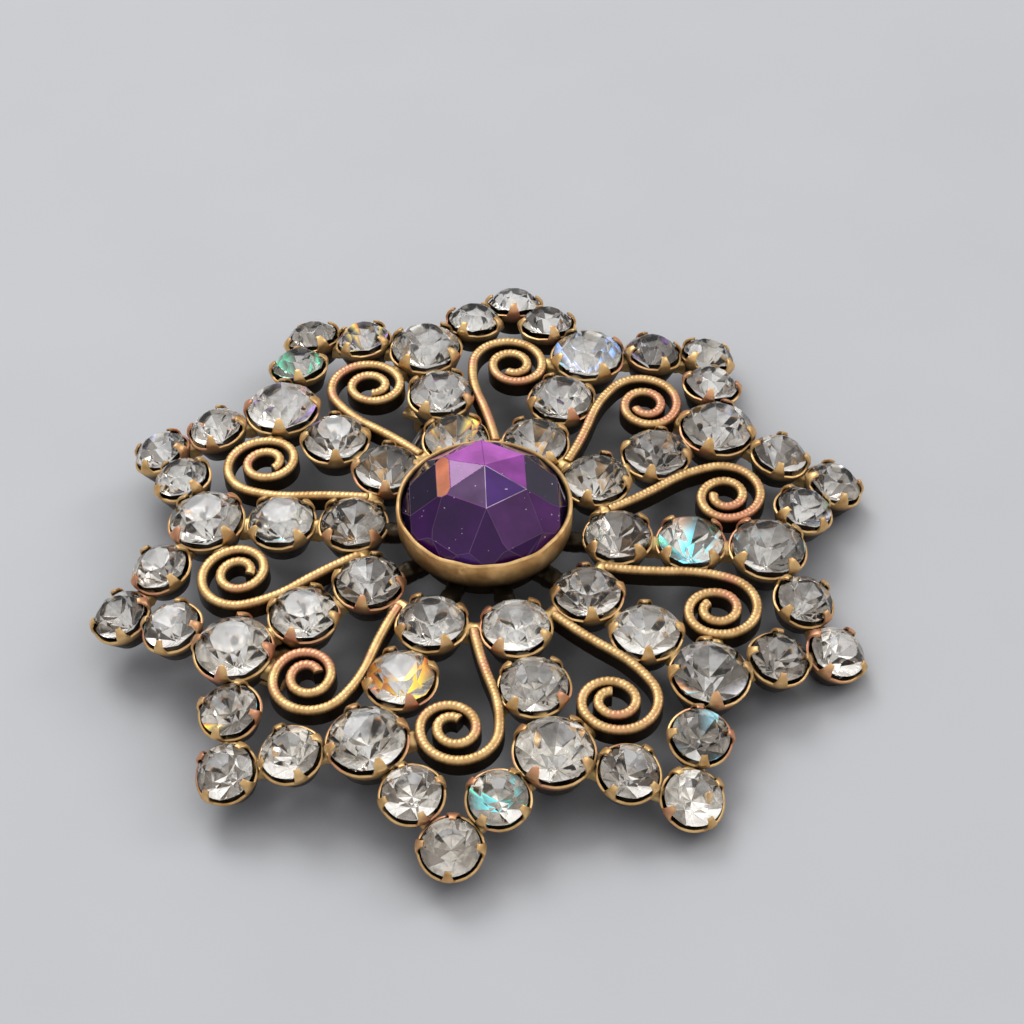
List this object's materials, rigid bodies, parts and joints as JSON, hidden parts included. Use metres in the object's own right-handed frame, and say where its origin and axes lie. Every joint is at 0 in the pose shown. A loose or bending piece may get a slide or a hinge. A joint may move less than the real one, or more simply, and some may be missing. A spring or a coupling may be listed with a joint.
{
  "type": "brooch",
  "caption": "Round star-shaped brooch of soldered prong cups with clear paste stones, ribbon scrolls and a domed purple centre stone, with a hinged pin and a rolling safety catch.",
  "frame": {"origin": "under the brooch's centre, level with the lowest face of the catch that it rests on", "axes": "+Z out of the front, +Y towards one of the star's points"},
  "size_m": [0.0564, 0.059, 0.0125],
  "materials": {
    "cup_brass": "antiqued brass, dark in the recesses",
    "scroll_brass": "antiqued brass with a milled edge",
    "bezel_brass": "antiqued brass, satin",
    "solder": "gold-coloured solder, rounded and uneven",
    "catch_brass": "plain brass, satin",
    "pin_steel": "drawn wire, bright",
    "clear_stone": "cut clear glass with foil behind",
    "amethyst_glass": "cut purple glass with foil behind"
  },
  "bodies": {
    "brooch": {"catch_barrel": "catch_brass", "centre_bezel": "bezel_brass", "centre_stone": "amethyst_glass", "hinge_bracket": "catch_brass", "hinge_rivet": "catch_brass", "point_cups_01": "cup_brass", "point_cups_02": "cup_brass", "point_cups_03": "cup_brass", "point_cups_04": "cup_brass", "point_cups_05": "cup_brass", "point_cups_06": "cup_brass", "point_cups_07": "cup_brass", "point_cups_08": "cup_brass", "point_cups_09": "cup_brass", "point_cups_10": "cup_brass", "point_stones_01": "clear_stone", "point_stones_02": "clear_stone", "point_stones_03": "clear_stone", "point_stones_04": "clear_stone", "point_stones_05": "clear_stone", "point_stones_06": "clear_stone", "point_stones_07": "clear_stone", "point_stones_08": "clear_stone", "point_stones_09": "clear_stone", "point_stones_10": "clear_stone", "scroll_01": "scroll_brass", "scroll_02": "scroll_brass", "scroll_03": "scroll_brass", "scroll_04": "scroll_brass", "scroll_05": "scroll_brass", "scroll_06": "scroll_brass", "scroll_07": "scroll_brass", "scroll_08": "scroll_brass", "scroll_09": "scroll_brass", "scroll_10": "scroll_brass", "solder_joints": "solder", "spoke_cups_01": "cup_brass", "spoke_cups_02": "cup_brass", "spoke_cups_03": "cup_brass", "spoke_cups_04": "cup_brass", "spoke_cups_05": "cup_brass", "spoke_cups_06": "cup_brass", "spoke_cups_07": "cup_brass", "spoke_cups_08": "cup_brass", "spoke_cups_09": "cup_brass", "spoke_cups_10": "cup_brass", "spoke_stones_01": "clear_stone", "spoke_stones_02": "clear_stone", "spoke_stones_03": "clear_stone", "spoke_stones_04": "clear_stone", "spoke_stones_05": "clear_stone", "spoke_stones_06": "clear_stone", "spoke_stones_07": "clear_stone", "spoke_stones_08": "clear_stone", "spoke_stones_09": "clear_stone", "spoke_stones_10": "clear_stone"},
    "pin": {"pin_stem": "pin_steel"},
    "lock": {"catch_lock": "catch_brass"}
  },
  "joints": [
    {"name": "pin_hinge", "type": "hinge", "parent": "brooch", "child": "pin", "pos_m": [-0.0144, -0.01067, 0.00116], "axis": [-0.9511, 0.309, 0], "range_deg": [0, 110]},
    {"name": "catch_turn", "type": "hinge", "parent": "brooch", "child": "lock", "pos_m": [-0.00547, 0.01681, 0.00116], "axis": [-0.309, -0.9511, 0], "range_deg": [0, 100]}
  ]
}
